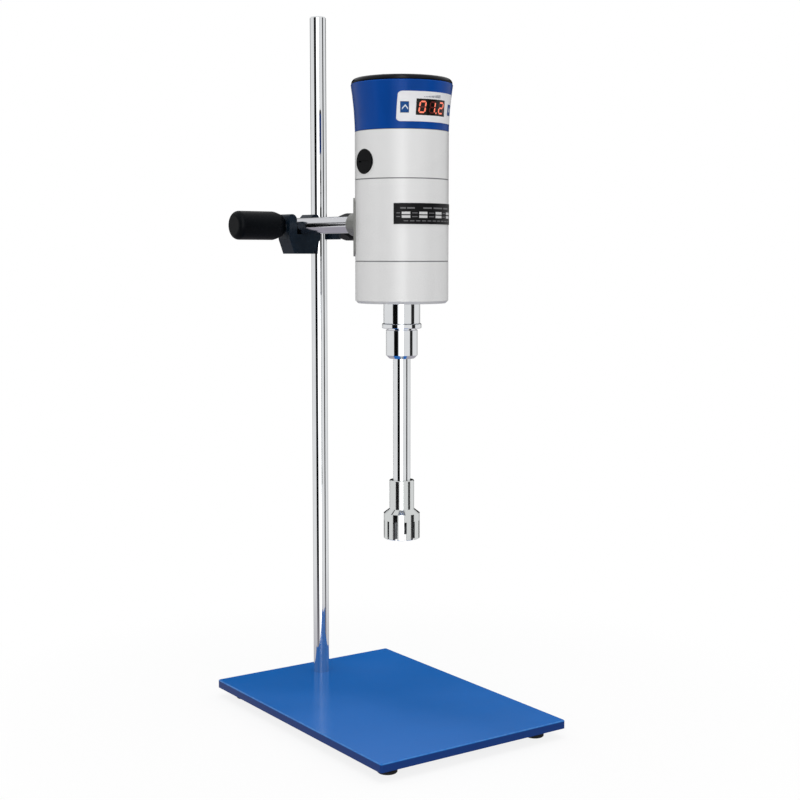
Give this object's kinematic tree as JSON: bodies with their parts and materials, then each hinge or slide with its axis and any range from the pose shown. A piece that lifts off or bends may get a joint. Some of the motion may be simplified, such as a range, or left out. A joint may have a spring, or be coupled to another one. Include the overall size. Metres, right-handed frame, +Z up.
{
  "type": "rotor stator homogenizer",
  "caption": "Laboratory rotor-stator homogenizer: a motor head with digital speed panel and slotted dispersing tool, held on a side arm by a boss head on a rod and plate stand.",
  "frame": {"origin": "on the bench, under the middle of the base plate", "axes": "+X from the rod towards the motor head along the plate's long side, +Y to the left, +Z up"},
  "size_m": [0.3, 0.208, 0.687],
  "materials": {
    "blue_paint": "gloss enamel",
    "white_paint": "smooth semi-gloss paint",
    "blue_shell": "moulded, gloss",
    "dark_cover": "moulded, gloss",
    "black_plastic": "moulded, satin",
    "boss_paint": "semi-gloss enamel on a casting",
    "chrome": "polished plating",
    "steel": "machined",
    "saddle_metal": "fine machined, satin",
    "aluminium": "satin",
    "rubber": "matt",
    "fascia": "printed film",
    "key_blue": "moulded key",
    "display_lens": "dark red filter",
    "label": "black foil, satin",
    "circuit_board": "solder mask",
    "lamination": "varnished laminations",
    "copper": "enamelled copper wire",
    "carbon": "pressed carbon",
    "phenolic": "moulded phenolic",
    "ptfe": "machined PTFE"
  },
  "bodies": {
    "stand": {"base_plate": "blue_paint", "rubber_feet": "rubber", "foot_screws": "steel", "rod_screw": "steel"},
    "rod": {"support_rod": "chrome"},
    "boss_head": {"boss_head_body": "boss_paint"},
    "arm_screw": {"arm_clamp_screw": "steel"},
    "arm_knob": {"arm_clamp_knob": "black_plastic"},
    "rod_clamp": {"rod_clamp_screw": "steel"},
    "rod_knob": {"rod_clamp_knob": "black_plastic"},
    "arm": {"support_arm": "chrome"},
    "head": {"rear_saddle": "saddle_metal", "saddle_screws": "steel", "arm_set_screw": "steel", "lower_housing": "white_paint", "middle_housing": "white_paint", "upper_housing": "white_paint", "housing_bolts": "steel", "cable_gland": "black_plastic", "control_housing": "blue_shell", "panel_fascia": "fascia", "display_window": "display_lens", "top_cover": "dark_cover", "cover_screws": "steel", "rating_plate": "label", "display_module": "black_plastic", "control_board": "circuit_board", "key_switches": "black_plastic", "switch_body": "black_plastic", "power_board": "circuit_board", "filter_capacitor": "black_plastic", "triac_heatsink": "aluminium", "bearing_bracket": "aluminium", "bracket_screws": "steel", "shaft_bearings": "steel", "field_core": "lamination", "field_coils": "copper", "brush_holders": "phenolic", "carbon_brushes": "carbon", "brush_springs": "steel", "brush_caps": "black_plastic", "spindle_nose": "chrome"},
    "up_key": {"up_button": "key_blue"},
    "down_key": {"down_button": "key_blue"},
    "rocker": {"power_rocker": "black_plastic"},
    "armature": {"motor_shaft": "steel", "armature_core": "lamination", "armature_windings": "copper", "commutator": "copper", "cooling_fan": "black_plastic", "drive_coupling": "steel"},
    "tool": {"lock_ring": "chrome", "tool_collar": "chrome", "tool_tube": "chrome", "tool_bushes": "ptfe", "shaft_seal": "ptfe", "stator_head": "chrome"},
    "tool_drive": {"tool_shaft": "steel", "rotor": "chrome", "rotor_nut": "steel"}
  },
  "joints": [
    {"name": "rod_swing", "type": "hinge", "parent": "stand", "child": "rod", "pos_m": [-0.1168, 0, 0.479], "axis": [0, 0, 1], "range_deg": [-60, 60]},
    {"name": "height_slide", "type": "slide", "parent": "rod", "child": "boss_head", "axis": [0, 0, 1], "range_m": [-0.11, 0.18]},
    {"name": "arm_screw_feed", "type": "slide", "parent": "boss_head", "child": "arm_screw", "axis": [0.0593, -0.9982, 0], "range_m": [0, 0.005]},
    {"name": "arm_knob_turn", "type": "hinge", "parent": "arm_screw", "child": "arm_knob", "pos_m": [-0.11066, -0.03585, 0.479], "axis": [0.0593, -0.9982, 0], "range_deg": [0, 1440]},
    {"name": "rod_screw_feed", "type": "slide", "parent": "boss_head", "child": "rod_clamp", "axis": [-0.0593, 0.9982, 0], "range_m": [0, 0.005]},
    {"name": "rod_knob_turn", "type": "hinge", "parent": "rod_clamp", "child": "rod_knob", "pos_m": [-0.11728, 0.00814, 0.479], "axis": [-0.0593, 0.9982, 0], "range_deg": [0, 1440]},
    {"name": "reach_slide", "type": "slide", "parent": "boss_head", "child": "arm", "axis": [0.9982, 0.0593, 0], "range_m": [-0.065, 0.004]},
    {"name": "head_tilt", "type": "hinge", "parent": "arm", "child": "head", "pos_m": [0.05656, -0.01775, 0.479], "axis": [0.9982, 0.0593, 0], "range_deg": [-45, 45]},
    {"name": "up_button_press", "type": "slide", "parent": "head", "child": "up_key", "axis": [-0.8526, 0.5225, 0], "range_m": [0, 0.0004], "stiffness_N_per_m": 500, "springref_m": -0.0002},
    {"name": "down_button_press", "type": "slide", "parent": "head", "child": "down_key", "axis": [-0.7848, -0.6198, 0], "range_m": [0, 0.0004], "stiffness_N_per_m": 500, "springref_m": -0.0002},
    {"name": "power_rocker_tip", "type": "hinge", "parent": "head", "child": "rocker", "pos_m": [0.01264, -0.02036, 0.5787], "axis": [-0.0593, 0.9982, 0], "range_deg": [0, 20]},
    {"name": "motor_spin", "type": "hinge", "parent": "head", "child": "armature", "pos_m": [0.05656, -0.01775, 0.4067], "axis": [0, 0, 1], "continuous": true},
    {"name": "tool_release", "type": "slide", "parent": "head", "child": "tool", "axis": [0, 0, -1], "range_m": [0, 0.045]},
    {"name": "tool_shaft_spin", "type": "hinge", "parent": "tool", "child": "tool_drive", "pos_m": [0.05656, -0.01775, 0.3867], "axis": [0, 0, 1], "continuous": true}
  ],
  "couplings": [
    {"joint": "arm_knob_turn", "follows": "arm_screw_feed", "rad_per_m": 5026.5},
    {"joint": "rod_knob_turn", "follows": "rod_screw_feed", "rad_per_m": 5026.5},
    {"joint": "tool_shaft_spin", "follows": "motor_spin", "ratio": 1}
  ]
}
